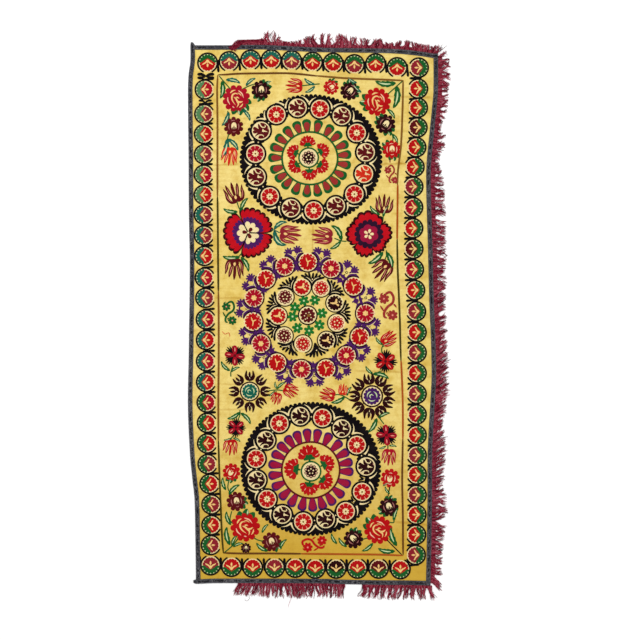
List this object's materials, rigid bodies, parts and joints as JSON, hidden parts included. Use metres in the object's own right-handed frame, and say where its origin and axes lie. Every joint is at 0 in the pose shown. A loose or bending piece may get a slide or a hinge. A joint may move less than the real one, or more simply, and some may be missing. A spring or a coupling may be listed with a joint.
{
  "type": "suzani embroidered textile",
  "caption": "Long yellow embroidered suzani laid flat, with round medallions, a border of roundels, a dark braid edge and a red fringe.",
  "frame": {"origin": "middle of the bounding box, at the underside of the cloth as it lies", "axes": "+Z out of the embroidered face, +Y to the top edge along the cloth's length, +X to the fringed long side"},
  "size_m": [0.88, 1.904, 0.0045],
  "materials": {
    "ground": "satin",
    "binding": "matt braid",
    "fringe": "matt yarn"
  },
  "bodies": {
    "root": {"ground_cloth": "ground", "binding_left": "binding", "binding_top": "binding", "binding_right": "binding", "binding_bottom": "binding", "fringe_top": "fringe", "fringe_right": "fringe", "fringe_bottom_long": "fringe", "fringe_bottom_short": "fringe", "fringe_turned_end": "fringe"}
  },
  "joints": []
}
